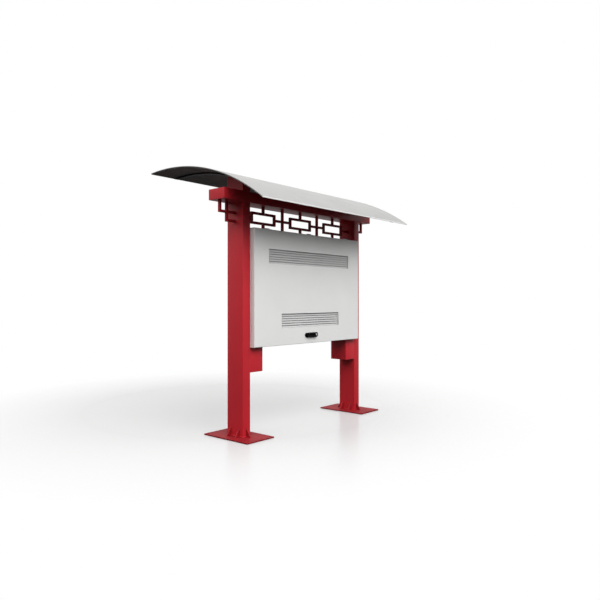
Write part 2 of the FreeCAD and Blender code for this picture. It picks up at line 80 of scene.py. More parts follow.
# Eased edges and ends, in metres, and the distance within which corners are joined
SHEET_EDGE, KNUCKLE_EDGE, FINE_EDGE, SEAL_EDGE, GUSSET_EDGE = 0.0008, 0.0006, 0.0005, 0.002, 0.0012
POST_END, BEAM_END, CAP_END, BLOCK_END, HEM_END = 0.001, 0.0012, 0.0015, 0.003, 0.001
ROOF_EDGE, LINING_EDGE, BEZEL_EDGE, CASE_EDGE, LOCK_EDGE = 0.0025, 0.0015, 0.002, 0.002, 0.002
STUB_CORNER, BLOCK_CORNER_SHARE = 0.003, 0.6
JOIN_WITHIN = 0.00001

# The thinner weld beads, how far the block's bead keeps inside the block's edges, and how far the
# lining stops short of the eaves
THIN_BEAD_SHARE, BEAD_INSET, LINING_SHORT = 0.8, 0.004, 0.012

# Angles, in degrees, over which an edge is drawn sharp
SHARP, SHARP_LOCK, SHARP_KEY = 35, 50, 30

# The key lamp and the camera
KEY_SIZE, KEY_DISTANCE, KEY_AIM = 5.0, 7.0, 1.3
KEY_HEIGHT, KEY_HEADING = math.radians(42), math.radians(16)
SENSOR_WIDTH, FLOOR_REACH = 36.0, 60.0

DUST_COLOUR = (0.50, 0.48, 0.45, 1)
BORDER_COLOUR, BORDER_BLUR = (0.002, 0.002, 0.002, 1), 0.0005


def span(node):
    """A frame node's lowest and highest corners, in metres."""
    low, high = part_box(node)
    return np.array(low), np.array(high)


# Sizes, colours and stage values that a user would change


class KioskSizes(bpy.types.PropertyGroup):
    """Sizes of the shapes that the frame leaves to the finish."""

    roof_radius: FloatProperty(
        name="Roof radius", description="Radius of the roof's outer arc", default=2.325, unit="LENGTH")
    sheet_thick: FloatProperty(
        name="Roof sheet", description="Thickness of the roof sheet", default=0.008, unit="LENGTH")
    lining_thick: FloatProperty(
        name="Roof lining", description="Thickness of the lining under the roof sheet",
        default=0.006, unit="LENGTH")
    rib_rise: FloatProperty(
        name="Rib height", description="Height of the arched ribs' section", default=0.016,
        unit="LENGTH")
    tube_corner: FloatProperty(
        name="Tube corner", description="Outer corner radius of the steel tubes",
        default=0.0035, unit="LENGTH")
    plate_edge: FloatProperty(
        name="Plate edge", description="Radius of the eased edges of plates and bars",
        default=0.0015, unit="LENGTH")
    bead_radius: FloatProperty(
        name="Weld bead", description="Radius of the weld beads", default=0.004, unit="LENGTH")
    bead_ripple: FloatProperty(
        name="Weld ripple", description="Distance from one ripple of a weld bead to the next",
        default=0.009, unit="LENGTH")
    fold_radius: FloatProperty(
        name="Fold radius", description="Outer radius of the door's folded edges",
        default=0.005, unit="LENGTH")
    door_skin: FloatProperty(
        name="Door sheet", description="Thickness of the door's sheet", default=0.003, unit="LENGTH")
    louvre_count: IntProperty(
        name="Louvres", description="Slats in each vent", default=6, min=1)
    louvre_width: FloatProperty(
        name="Louvre width", description="Width of a slat", default=0.026, unit="LENGTH")
    louvre_thick: FloatProperty(
        name="Louvre thickness", description="Thickness of a slat", default=0.002, unit="LENGTH")
    louvre_setback: FloatProperty(
        name="Louvre setback", description="Depth of the slats' front edges behind the vent's rim",
        default=0.006, unit="LENGTH")
    louvre_tilt: FloatProperty(
        name="Louvre tilt", description="Rise of a slat from its outer edge", default=math.radians(62),
        subtype="ANGLE")
    vent_rim: FloatProperty(
        name="Vent rim", description="Thickness of the sleeve round each vent", default=0.0025,
        unit="LENGTH")
    mitre_seam: FloatProperty(
        name="Mitre seam", description="Gap at the bezel's mitred corners", default=0.0006,
        unit="LENGTH")
    glass_border: FloatProperty(
        name="Glass border", description="Width of the black border printed on the glass",
        default=0.032, unit="LENGTH")
    rib_short: FloatProperty(
        name="Rib shortfall", description="How far the ribs stop short of the eaves", default=0.012,
        unit="LENGTH")
    rib_taper: FloatProperty(
        name="Rib taper", description="Length over which a rib's end tapers", default=0.060,
        unit="LENGTH")
    hem_height: FloatProperty(
        name="Hem height", description="Height of the light folded hem along each eave",
        default=0.013, unit="LENGTH")
    hem_drop: FloatProperty(
        name="Hem drop", description="How far the hem hangs below the sheet's edge", default=0.004,
        unit="LENGTH")
    hem_thick: FloatProperty(
        name="Hem thickness", description="Thickness of the folded hem", default=0.004, unit="LENGTH")
    lever_thick: FloatProperty(
        name="Lever thickness", description="Thickness of the lock's lever", default=0.014,
        unit="LENGTH")
    lever_tip: FloatProperty(
        name="Lever tip", description="Radius of the lever's round tip", default=0.0155, unit="LENGTH")
    swage_count: IntProperty(
        name="Cover swages", description="Pressed swages in the display's back cover", default=5, min=1)
    swage_rise: FloatProperty(
        name="Swage height", description="How far the swages stand out", default=0.008, unit="LENGTH")


class KioskColours(bpy.types.PropertyGroup):
    """Base colours of the finishes."""

    red: FloatVectorProperty(
        name="Red coating", description="Posts, feet, blocks, beam and fretwork", subtype="COLOR",
        default=(0.515, 0.020, 0.030), min=0, max=1)
    grey: FloatVectorProperty(
        name="Cabinet grey", description="Powder coat of the cabinet and its door", subtype="COLOR",
        default=(0.76, 0.76, 0.75), min=0, max=1)
    vent: FloatVectorProperty(
        name="Vent grey", description="Coating of the two vent grilles", subtype="COLOR",
        default=(0.52, 0.52, 0.515), min=0, max=1)
    roof: FloatVectorProperty(
        name="Roof coating", description="Upper side and edges of the roof sheet", subtype="COLOR",
        default=(0.250, 0.250, 0.247), min=0, max=1)
    lining: FloatVectorProperty(
        name="Roof lining", description="Underside of the roof", subtype="COLOR",
        default=(0.35, 0.35, 0.345), min=0, max=1)
    black: FloatVectorProperty(
        name="Black coating", description="Arched ribs and lock", subtype="COLOR",
        default=(0.010, 0.010, 0.010), min=0, max=1)
    zinc: FloatVectorProperty(
        name="Zinc-coated steel", description="Display case, rails and pins", subtype="COLOR",
        default=(0.46, 0.47, 0.48), min=0, max=1)
    glass: FloatVectorProperty(
        name="Dark screen", description="Screen behind its glass, switched off", subtype="COLOR",
        default=(0.010, 0.011, 0.013), min=0, max=1)


class KioskStage(bpy.types.PropertyGroup):
    """Camera, lamps and floor."""

    camera_place: FloatVectorProperty(
        name="Camera place", description="Where the camera stands", subtype="TRANSLATION",
        default=(-4.700, -4.214, 1.30), unit="LENGTH")
    camera_heading: FloatProperty(
        name="Camera heading", description="Turn of the level camera from straight ahead, to the right",
        default=math.radians(49.41), subtype="ANGLE")
    camera_lens: FloatProperty(
        name="Lens", description="Focal length for a sensor 36 mm wide", default=34.62,
        subtype="DISTANCE_CAMERA")
    sky_strength: FloatProperty(
        name="Sky strength", description="Soft light from all round, above the horizon", default=3.05,
        min=0)
    sky_from: FloatProperty(
        name="Sky from", description="Height over the horizon at which the sky starts to shine",
        default=math.radians(14), subtype="ANGLE")
    sky_full: FloatProperty(
        name="Sky full", description="Height over the horizon from which it shines fully",
        default=math.radians(40), subtype="ANGLE")
    sky_zenith: FloatProperty(
        name="Zenith share", description="Share of the sky's light straight overhead", default=0.3,
        min=0, max=1)
    key_strength: FloatProperty(
        name="Key strength", description="Light of the large soft lamp on a white face turned to it",
        default=0.60, min=0)
    floor_tone: FloatProperty(
        name="Floor tone", description="Grey of the floor in the picture", default=0.47, min=0, max=1)
    floor_bounce: FloatProperty(
        name="Floor bounce", description="Grey of the floor for the light that it sends back",
        default=0.015, min=0, max=1)
    floor_mirrored: FloatProperty(
        name="Floor mirrored", description="Share of the floor's tone that reflections show",
        default=0.22, min=0, max=1)
    white_centre: FloatVectorProperty(
        name="White centre", description="Middle of the floor that isn't faded to white",
        subtype="TRANSLATION", default=(0.2, 1.0, 0.0), unit="LENGTH")
    white_from: FloatProperty(
        name="White from", description="Distance from that middle at which the floor starts to fade",
        default=1.8, unit="LENGTH")
    white_to: FloatProperty(
        name="White to", description="Distance at which the floor is plain white", default=3.5,
        unit="LENGTH")


# Surfaces worked out as whole arrays


def quads_of(points, close_u=False, close_v=False, cap_ends=False):
    """Vertices and faces of a grid of points [u, v, xyz].

    Each face joins a point to its neighbours along u and v. The last row or column is joined to the
    first where that way is closed, and a cap is one face over each open end of the rows.
    """
    rows, columns = points.shape[:2]
    index = np.arange(rows * columns).reshape(rows, columns)
    ends = [index[0].tolist(), index[-1, ::-1].tolist()] if cap_ends else []
    if close_u:
        index = np.vstack([index, index[:1]])
    if close_v:
        index = np.hstack([index, index[:, :1]])
    corners = (index[:-1, :-1], index[1:, :-1], index[1:, 1:], index[:-1, 1:])
    return points.reshape(-1, 3), np.stack(corners, axis=-1).reshape(-1, 4).tolist() + ends


def rounded_rectangle(steps):
    """Corner signs [n, 2] and directions [n, 2] round a rectangle: a quarter circle at each corner.

    A point of the outline is sign * (half size - corner radius) + corner radius * direction.
    """
    angle = np.arange(4)[:, None] * math.pi / 2 + np.linspace(0, math.pi / 2, steps + 1)
    middle = np.arange(4) * math.pi / 2 + math.pi / 4
    signs = np.sign(np.stack([np.cos(middle), np.sin(middle)], axis=-1))
    signs = np.repeat(signs, steps + 1, axis=0)
    directions = np.stack([np.cos(angle), np.sin(angle)], axis=-1).reshape(-1, 2)
    return signs, directions


def eased_bar(low, high, axis, corner, ease):
    """A bar between two corners, with round long edges and eased ends.

    A rounded rectangle is carried along the axis. Over the last `ease` at each end it is drawn in by
    ease * (1 - sin a) while it moves along by ease * (1 - cos a), for a from 0 to 90 degrees.
    """
    low, high = np.array(low, float), np.array(high, float)
    across = [k for k in (X, Y, Z) if k != axis]
    signs, directions = rounded_rectangle(CORNER_STEPS)
    quarter = np.linspace(0, math.pi / 2, CORNER_STEPS + 1)
    inset = ease * (1 - np.sin(quarter))
    travel = ease * (1 - np.cos(quarter))
    along = np.concatenate([low[axis] + travel, (high[axis] - travel)[::-1]])
    inset = np.concatenate([inset, inset[::-1]])
    middle, half = (low + high) / 2, (high - low) / 2
    points = np.empty((len(along), len(signs), 3))
    points[:, :, axis] = along[:, None]
    for column, k in enumerate(across):
        centre = middle[k] + signs[:, column] * (half[k] - corner)
        points[:, :, k] = centre + (corner - inset)[:, None] * directions[:, column]
    return quads_of(points, close_v=True, cap_ends=True)


def weld_bead(low, high, axis, at, corner, bead, ripple):
    """A fillet weld round a tube: a small round section carried round the tube's outline.

    The section's radius is bead * (1 + 0.14 * sin(turns * ripple angle)) and its centre runs along the
    rounded rectangle, evenly spaced by length.
    """
    across = [k for k in (X, Y, Z) if k != axis]
    low, high = np.array(low, float), np.array(high, float)
    middle, half = (low + high) / 2, (high - low) / 2
    signs, directions = rounded_rectangle(BEAD_CORNER_STEPS)
    outline = np.stack([
        middle[k] + signs[:, c] * (half[k] - corner) + corner * directions[:, c]
        for c, k in enumerate(across)
    ], axis=-1)
    closed = np.vstack([outline, outline[:1]])
    facing = np.vstack([directions, directions[:1]])
    length = np.concatenate([[0], np.cumsum(np.linalg.norm(np.diff(closed, axis=0), axis=1))])
    count = int(length[-1] / ripple) * BEAD_STEPS
    even = np.arange(count) / count * length[-1]
    path = np.stack([np.interp(even, length, closed[:, c]) for c in (0, 1)], axis=-1)
    out = np.stack([np.interp(even, length, facing[:, c]) for c in (0, 1)], axis=-1)
    turn = np.arange(BEAD_SIDES) / BEAD_SIDES * FULL_TURN
    radius = bead * (1 + 0.14 * np.sin(np.arange(count) / BEAD_STEPS * FULL_TURN))
    points = np.empty((count, BEAD_SIDES, 3))
    for c, k in enumerate(across):
        points[:, :, k] = path[:, c, None] + (radius * out[:, c])[:, None] * np.cos(turn)
    points[:, :, axis] = at + radius[:, None] * np.sin(turn)
    return quads_of(points, close_u=True, close_v=True)


def roof_arc():
    """Centre (y, z) of the roof's arc and its angles from the crown to the front and rear eaves.

    The sheet's box gives the crown's height and both eaves; the radius gives the rest.
    """
    sizes = bpy.context.scene.kiosk_sizes
    low, high = span("roof_sheet")
    centre_z = high[Z] - sizes.roof_radius
    rear = math.acos((low[Z] - centre_z) / (sizes.roof_radius - sizes.sheet_thick))
    centre_y = low[Y] + sizes.roof_radius * math.sin(rear)
    front = math.asin((high[Y] - centre_y) / sizes.roof_radius)
    return centre_y, centre_z, front, rear


def arched_bar(x_low, x_high, outer, inner, trim, ease, taper=0.0):
    """A band along the roof's arc: a rounded rectangle in length and radius, carried along the arc.

    The two ends are drawn in by a quarter circle, as on the straight bars, and stop short of the eaves
    by the trim. Over the taper's length the height grows from a third to the whole by a smooth step of
    the distance from the nearer end.
    """
    centre_y, centre_z, front, rear = roof_arc()
    quarter = np.linspace(0, math.pi / 2, EDGE_STEPS + 1)
    middle_radius = (outer + inner) / 2
    start, end = -rear + trim / middle_radius, front - trim / middle_radius
    ends = ease * (1 - np.cos(quarter)) / middle_radius
    between = np.linspace(start, end, ARC_STEPS + 2)[1:-1]
    angle = np.concatenate([start + ends, between, (end - ends)[::-1]])
    drawn = ease * (1 - np.sin(quarter))
    inset = np.concatenate([drawn, np.zeros(ARC_STEPS), drawn[::-1]])
    signs, directions = rounded_rectangle(EDGE_STEPS)
    height = np.full_like(angle, outer - inner)[:, None]
    if taper:
        from_end = np.minimum(angle - start, end - angle) * middle_radius
        height = height * (1 + 2 * smooth_step(from_end / taper))[:, None] / 3
    reach = (ease - inset)[:, None]
    middle, half = (x_low + x_high) / 2, (x_high - x_low) / 2
    across = middle + signs[:, 0] * (half - ease) + reach * directions[:, 0]
    radius = outer - height / 2 + signs[:, 1] * (height / 2 - ease) + reach * directions[:, 1]
    points = np.stack([
        across,
        centre_y + radius * np.sin(angle)[:, None],
        centre_z + radius * np.cos(angle)[:, None],
    ], axis=-1)
    return quads_of(points, close_v=True, cap_ends=True)


def mitred_bar(corner_a, corner_b, inward, width, thick, ease, seam):
    """A bezel bar from one outer corner to the next, both ends cut at 45 degrees.

    The section is a rounded rectangle with its width pointing inward. A point at the depth w of the
    section starts w after corner a and stops w before corner b, both by half a seam more.
    """
    signs, directions = rounded_rectangle(EDGE_STEPS)
    depth = width / 2 + signs[:, 0] * (width / 2 - ease) + ease * directions[:, 0]
    lift = signs[:, 1] * (thick / 2 - ease) + ease * directions[:, 1]
    corner_a, corner_b, inward = (np.array(p, float) for p in (corner_a, corner_b, inward))
    along = (corner_b - corner_a) / np.linalg.norm(corner_b - corner_a)
    ends = np.stack([depth + seam / 2, np.linalg.norm(corner_b - corner_a) - depth - seam / 2])
    points = corner_a + ends[..., None] * along + depth[None, :, None] * inward
    points = points + lift[None, :, None] * np.array([0, 1, 0])
    return quads_of(points, close_v=True, cap_ends=True)


def turned(profile, centre):
    """A round piece about an axis along Y: each (radius, y) of the profile goes round in a circle."""
    profile = np.array(profile, float)
    turn = np.arange(TURNED_SIDES) / TURNED_SIDES * FULL_TURN
    points = np.empty((len(profile), TURNED_SIDES, 3))
    points[:, :, X] = centre[X] + profile[:, 0, None] * np.cos(turn)
    points[:, :, Y] = profile[:, 1, None]
    points[:, :, Z] = centre[Z] + profile[:, 0, None] * np.sin(turn)
    return quads_of(points, close_v=True, cap_ends=True)


def smooth_step(value):
    """0 below 0, 1 above 1, and 3 v^2 - 2 v^3 between."""
    value = np.clip(value, 0, 1)
    return value * value * (3 - 2 * value)


def folded(unrolled, half, fold):
    """Where a sheet's flat length comes to lie once its edge is folded back round a quarter circle.

    Returns the distance across from the middle and the depth behind the face: flat up to half - fold,
    then fold * sin a across and fold * (1 - cos a) back, then straight back at `half`.
    """
    past = np.abs(unrolled) - (half - fold)
    angle = np.clip(past / fold, 0, math.pi / 2)
    across = np.minimum(np.abs(unrolled), half - fold) + fold * np.sin(angle)
    depth = fold * (1 - np.cos(angle)) + np.clip(past - fold * math.pi / 2, 0, None)
    return np.sign(unrolled) * across, depth


def folded_pan(low, high, fold, openings):
    """A sheet folded back along its four edges, with rectangular openings in its face.

    Both ways are unrolled into lengths. A point's depth is the greater of the two folds' depths, and
    the corner where two folded edges would lie on each other is left out.
    """
    middle, half, depth = (low + high) / 2, (high - low) / 2, high[Y] - low[Y]
    lines, kept = [], []
    for axis in (X, Z):
        flat = half[axis] - fold
        strip = flat + fold * np.linspace(0, math.pi / 2, FOLD_STEPS)
        strip = np.append(strip, strip[-1] + depth - fold)
        cuts = [hole[end][axis] - middle[axis] for hole in openings for end in (0, 1)]
        lines.append(np.unique(np.round(np.concatenate([strip, -strip, cuts]), 7)))
        kept.append(np.abs(lines[-1]) <= flat + fold * math.pi / 2 + 1e-6)
    across, back_x = folded(lines[0], half[X], fold)
    up, back_z = folded(lines[1], half[Z], fold)
    points = np.empty((len(across), len(up), 3))
    points[:, :, X] = middle[X] + across[:, None]
    points[:, :, Y] = low[Y] + np.maximum(back_x[:, None], back_z[None, :])
    points[:, :, Z] = middle[Z] + up[None, :]
    centre = [(line[:-1] + line[1:]) / 2 for line in lines]
    open_cell = np.zeros((len(across) - 1, len(up) - 1), bool)
    for hole in openings:
        inside_x = (centre[0] > hole[0][X] - middle[X]) & (centre[0] < hole[1][X] - middle[X])
        inside_z = (centre[1] > hole[0][Z] - middle[Z]) & (centre[1] < hole[1][Z] - middle[Z])
        open_cell |= inside_x[:, None] & inside_z[None, :]
    outer = [~(keep[:-1] & keep[1:]) for keep in kept]
    open_cell |= outer[0][:, None] & outer[1][None, :]
    vertices, faces = quads_of(points)
    return vertices, [face for face, gone in zip(faces, open_cell.ravel()) if not gone]


def louvre(low, high, level):
    """One slat of a vent: a thin strip bowed across its width, tilted, and carried along X.

    Across the slat, s runs from -1 to 1: the middle line is s * half width along the tilt plus
    bow * (1 - s^2) square to it. The two faces lie half a thickness to each side, which falls to a
    third at the slat's edges by the root of 1 - 0.9 s^8.
    """
    sizes = bpy.context.scene.kiosk_sizes
    half, bow, thick = sizes.louvre_width / 2, sizes.louvre_width * 0.06, sizes.louvre_thick
    share = np.cos(np.linspace(0, math.pi, SLAT_STEPS))
    share = np.concatenate([share, share[::-1]])
    side = np.repeat([0.5, -0.5], SLAT_STEPS) * thick * np.sqrt(1.0 - 0.9 * share ** 8)
    along = share * half
    square = bow * (1 - share ** 2) + side
    cos, sin = math.cos(sizes.louvre_tilt), math.sin(sizes.louvre_tilt)
    points = np.empty((2, len(share), 3))
    points[:, :, X] = np.array([low[X], high[X]])[:, None]
    points[:, :, Y] = low[Y] + sizes.louvre_setback + half * cos + along * cos - square * sin
    points[:, :, Z] = level + along * sin + square * cos
    return quads_of(points, close_v=True, cap_ends=True)


def two_rounds(centres, radii, profile):
    """A plate whose outline wraps two circles, such as a lever's arm and head.

    In each direction the outline's point is the one that reaches furthest on either circle. The
    profile is a list of (inset, y): rings drawn in from the outline by the inset, at that y.
    """
    centres, radii = np.array(centres, float), np.array(radii, float)
    turn = np.arange(OUTLINE_STEPS) / OUTLINE_STEPS * FULL_TURN
    facing = np.stack([np.cos(turn), np.sin(turn)], axis=-1)
    furthest = np.argmax(centres @ facing.T + radii[:, None], axis=0)
    points = np.empty((len(profile), OUTLINE_STEPS, 3))
    for ring, (inset, y) in enumerate(profile):
        flat = centres[furthest] + (radii[furthest] - inset)[:, None] * facing
        points[ring, :, X], points[ring, :, Y], points[ring, :, Z] = flat[:, 0], y, flat[:, 1]
    return quads_of(points, close_v=True, cap_ends=True)


def sleeve(low, high, wall):
    """A rectangular sleeve open along Y: a flat section of the wall carried round the rectangle."""
    middle, half = (low + high) / 2, (high - low) / 2
    signs = np.array([[1, 1], [-1, 1], [-1, -1], [1, -1]])
    inset = np.array([0.0, wall, wall, 0.0])
    points = np.empty((4, 4, 3))
    points[:, :, X] = middle[X] + signs[:, :1] * (half[X] - inset)
    points[:, :, Y] = np.array([low[Y], low[Y], high[Y], high[Y]])
    points[:, :, Z] = middle[Z] + signs[:, 1:] * (half[Z] - inset)
    return quads_of(points, close_u=True, close_v=True)


def rounded_front(back, front, edge):
    """A plate's profile as (inset, y): straight from its back, then a quarter round to its front."""
    quarter = np.linspace(0, math.pi / 2, FOLD_STEPS)
    step = edge if front > back else -edge
    rounded = [(edge * (1 - math.cos(a)), front - step * (1 - math.sin(a))) for a in quarter]
    return [(0.0, back), *rounded]


def swaged_case(low, high, count, rise, edge):
    """The display's case: a box whose back is pressed out into rounded upright swages.

    On the back, u and v run from 0 to 1 over width and height. The depth is rise times a smooth step
    away from the rim in both ways, times a smooth step of how far the point is inside its swage.
    """
    u = np.linspace(0, 1, count * SWAGE_STEPS + 1)
    v = np.linspace(0, 1, 2 * SWAGE_STEPS + 1)
    place_in_swage = np.abs(((u * count) % 1.0) - 0.5) * 2
    ridge = smooth_step((0.72 - place_in_swage) / 0.18)[:, None]
    ends = smooth_step((0.46 - np.abs(v - 0.5)) / 0.03)[None, :]
    points = np.empty((len(u), len(v), 3))
    points[:, :, X] = low[X] + (high[X] - low[X]) * u[:, None]
    points[:, :, Y] = low[Y] + rise * (1 - ridge * ends)
    points[:, :, Z] = low[Z] + (high[Z] - low[Z]) * v[None, :]
    rim = low + np.array([0, rise + edge / 4, 0])
    return [quads_of(points), eased_bar(rim, high, Y, edge, edge)]


# From surfaces to pieces


def build_piece(name, surfaces, body, material, stands_for=(), sharp=SHARP, closed=True):
    """One object at the origin from several surfaces, riding on a body and wearing a finish.

    Closed surfaces get their faces turned outwards; an open sheet keeps the side that it was given.
    """
    vertices, faces, count = [], [], 0
    for points, quads in surfaces:
        vertices.append(points)
        faces += [[corner + count for corner in face] for face in quads]
        count += len(points)
    mesh = bpy.data.meshes.new(name)
    mesh.from_pydata(np.concatenate(vertices).tolist(), [], faces)
    if closed:
        solid = bmesh.new()
        solid.from_mesh(mesh)
        bmesh.ops.recalc_face_normals(solid, faces=solid.faces)
        solid.to_mesh(mesh)
        solid.free()
    mesh.shade_smooth()
    mesh.set_sharp_from_angle(angle=math.radians(sharp))
    mesh.materials.append(material)
    piece = bpy.data.objects.new(name, mesh)
    bpy.context.scene.collection.objects.link(piece)
    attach(piece, body)
    if stands_for:
        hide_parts(*stands_for)
    return piece


def dress_node(node, material, edge=None):
    """A frame node that keeps its shape: a finish, and live modifiers that ease its edges."""
    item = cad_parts[node]
    item.data.materials.clear()
    item.data.materials.append(material)
    if edge is None:
        edge = bpy.context.scene.kiosk_sizes.plate_edge
    weld = item.modifiers.new("Join corners", "WELD")
    weld.merge_threshold = JOIN_WITHIN
    bevel = item.modifiers.new("Eased edges", "BEVEL")
    bevel.width = edge
    bevel.segments = 2
    bevel.limit_method = "ANGLE"
    bevel.angle_limit = math.radians(40)
    bevel.harden_normals = True
    return item


# Effects that several finishes share

NUMBER, COLOUR = "NodeSocketFloat", "NodeSocketColor"


def new_group(name, inputs, outputs):
    """A node group with named number or colour sockets: (name, kind, default)."""
    group = bpy.data.node_groups.new(name, "ShaderNodeTree")
    for socket_name, kind, default in inputs:
        socket = group.interface.new_socket(socket_name, in_out="INPUT", socket_type=kind)
        socket.default_value = default
    for socket_name, kind in outputs:
        group.interface.new_socket(socket_name, in_out="OUTPUT", socket_type=kind)
    return group, group.nodes.new("NodeGroupInput"), group.nodes.new("NodeGroupOutput")


def feed(group, socket, value):
    """Link a socket to another one, or set it to a plain value."""
    if isinstance(value, bpy.types.NodeSocket):
        group.links.new(value, socket)
    else:
        socket.default_value = value


def noise(group, coordinates, scale, detail):
    """The height of a noise texture on the given coordinates."""
    texture = group.nodes.new("ShaderNodeTexNoise")
    texture.inputs["Detail"].default_value = detail
    group.links.new(coordinates, texture.inputs["Vector"])
    feed(group, texture.inputs["Scale"], scale)
    return texture.outputs["Fac"]


def math_result(group, operation, *values):
    """The result of a math node on numbers or sockets."""
    node = group.nodes.new("ShaderNodeMath")
    node.operation = operation
    for socket, value in zip(node.inputs, values):
        feed(group, socket, value)
    return node.outputs[0]


def ramp_value(group, value, low, high, to_low=0.0, to_high=1.0):
    """Map a value's range to another, clamped; a limit is a number or a socket."""
    mapped = group.nodes.new("ShaderNodeMapRange")
    group.links.new(value, mapped.inputs["Value"])
    for name, limit in (("From Min", low), ("From Max", high), ("To Min", to_low), ("To Max", to_high)):
        feed(group, mapped.inputs[name], limit)
    return mapped.outputs["Result"]


def mix_colours(group, factor, first, second):
    """Blend two colours by a factor."""
    mix = group.nodes.new("ShaderNodeMix")
    mix.data_type = "RGBA"
    group.links.new(factor, mix.inputs["Factor"])
    feed(group, mix.inputs["A"], first)
    feed(group, mix.inputs["B"], second)
    return mix.outputs["Result"]


def mix_shaders(tree, factor, first, second, output):
    """Put two shaders, blended by a factor, on the tree's output."""
    blend = tree.nodes.new("ShaderNodeMixShader")
    tree.links.new(factor, blend.inputs[0])
    tree.links.new(first.outputs[0], blend.inputs[1])
    tree.links.new(second.outputs[0], blend.inputs[2])
    tree.links.new(blend.outputs[0], tree.nodes[output].inputs["Surface"])


def tone_group():
    """Slow drift of a coating's colour and gloss over the surface."""
    group, given, result = new_group(
        "Coating tone",
        (("Colour", COLOUR, (0.5, 0.5, 0.5, 1)), ("Deeper colour", COLOUR, (0.4, 0.4, 0.4, 1)),
         ("Patch scale", NUMBER, 3.0), ("Roughness", NUMBER, 0.4), ("Roughness drift", NUMBER, 0.06)),
        (("Colour", COLOUR), ("Roughness", NUMBER)))
    where = group.nodes.new("ShaderNodeTexCoord").outputs["Object"]
    patches = noise(group, where, given.outputs["Patch scale"], 4.0)
    amount = ramp_value(group, patches, 0.35, 0.70)
    colour = mix_colours(group, amount, given.outputs["Colour"], given.outputs["Deeper colour"])
    highest = math_result(group, "ADD", given.outputs["Roughness"], given.outputs["Roughness drift"])
    gloss = ramp_value(group, patches, 0.30, 0.75, given.outputs["Roughness"], highest)
    group.links.new(colour, result.inputs["Colour"])
    group.links.new(gloss, result.inputs["Roughness"])
    return group


def grain_group():
    """Height of a coating's fine grain: two sizes of noise added."""
    group, given, result = new_group(
        "Coating grain", (("Grain scale", NUMBER, 900.0), ("Peel scale", NUMBER, 120.0),
                          ("Peel share", NUMBER, 0.4)), (("Height", NUMBER),))
    where = group.nodes.new("ShaderNodeTexCoord").outputs["Object"]
    fine = noise(group, where, given.outputs["Grain scale"], 1.0)
    peel = noise(group, where, given.outputs["Peel scale"], 1.0)
    blend = group.nodes.new("ShaderNodeMix")
    group.links.new(given.outputs["Peel share"], blend.inputs["Factor"])
    group.links.new(fine, blend.inputs["A"])
    group.links.new(peel, blend.inputs["B"])
    group.links.new(blend.outputs["Result"], result.inputs["Height"])
    return group


def dust_group():
    """Mask of the thin dust on faces that look up, broken by noise."""
    group, given, result = new_group(
        "Settled dust", (("Amount", NUMBER, 0.3), ("Patch scale", NUMBER, 14.0)), (("Mask", NUMBER),))
    facing = group.nodes.new("ShaderNodeNewGeometry").outputs["Normal"]
    apart = group.nodes.new("ShaderNodeSeparateXYZ")
    group.links.new(facing, apart.inputs[0])
    upward = ramp_value(group, apart.outputs["Z"], 0.55, 1.0)
    where = group.nodes.new("ShaderNodeTexCoord").outputs["Object"]
    patches = noise(group, where, given.outputs["Patch scale"], 5.0)
    broken = ramp_value(group, patches, 0.30, 0.75, 0.25, 1.0)
    settled = math_result(group, "MULTIPLY", upward, broken)
    scaled = math_result(group, "MULTIPLY", settled, given.outputs["Amount"])
    group.links.new(scaled, result.inputs["Mask"])
    return group


def shared_group(name):
    """One of the shared effects, built the first time that it is asked for."""
    makers = {"Coating tone": tone_group, "Coating grain": grain_group, "Settled dust": dust_group}
    return bpy.data.node_groups.get(name) or makers[name]()


def place_group(material, name, **values):
    """A shared effect in a material, with that material's own values."""
    node = material.node_tree.nodes.new("ShaderNodeGroup")
    node.node_tree = shared_group(name)
    for socket, value in values.items():
        node.inputs[socket.replace("_", " ").capitalize()].default_value = value
    return node


def shade(colour, factor):
    """A colour made darker or lighter, as RGBA."""
    return (*(min(1.0, channel * factor) for channel in colour[:3]), 1.0)


class Finish(NamedTuple):
    """How a coated or plated metal looks."""

    title: str
    colour: str | tuple  # a property of KioskColours, or a plain colour
    roughness: float
    grain_scale: float
    bump: float
    patches: float  # colour of the deeper patches, as a share of the colour
    share: float = 1.0  # share of the named colour that is used
    dust: float = 0.0
    metallic: float = 0.0
    specular: float = 0.5


FINISHES = {
    # The steelwork, its scuffed base plates and the fretwork; the darkened shares are painted shade
    "red": Finish("Satin red coating", "red", 0.36, 700.0, 0.12, 0.92, dust=0.03, specular=0.22),
    # painted shade: the plates' red darkened to 0.45 stands in for the dimmer light on their tops
    "foot": Finish("Scuffed red coating", "red", 0.55, 500.0, 0.30, 0.75, 0.45, specular=0.10),
    # painted shade: the red darkened to 0.6 stands in for the deep shade on the fretwork and gussets
    "fret": Finish("Deep red coating", "red", 0.45, 700.0, 0.12, 0.92, 0.6, specular=0.15),
    # The cabinet, its vents, and the pale hems along the eaves
    "grey": Finish("Grey powder coat", "grey", 0.48, 1100.0, 0.20, 0.965, dust=0.05),
    "vent": Finish("Vent powder coat", "vent", 0.55, 1100.0, 0.20, 0.93, dust=0.06),
    "trim": Finish("Eave hem coating", "grey", 0.35, 700.0, 0.08, 0.96, 0.85),
    # The roof from above and below, and its ribs
    "roof": Finish("Roof coating", "roof", 0.40, 600.0, 0.10, 0.955, dust=0.10),
    "lining": Finish("Grey lining", "lining", 0.70, 500.0, 0.20, 0.86, specular=0.04),
    "black": Finish("Satin black coating", "black", 0.50, 800.0, 0.12, 0.80, specular=0.05),
    # The lock and its key, and what is inside the cabinet
    "lock": Finish("Lock black", "black", 0.34, 1400.0, 0.25, 0.80, 0.25, specular=0.02),
    "key": Finish("Satin chrome", (0.85, 0.85, 0.86), 0.22, 900.0, 0.05, 0.92, metallic=1.0),
    "zinc": Finish("Zinc-coated steel", "zinc", 0.34, 300.0, 0.10, 0.80, metallic=0.85),
    "seal": Finish("Seal rubber", (0.015, 0.015, 0.015), 0.80, 900.0, 0.50, 0.70, specular=0.25),
}


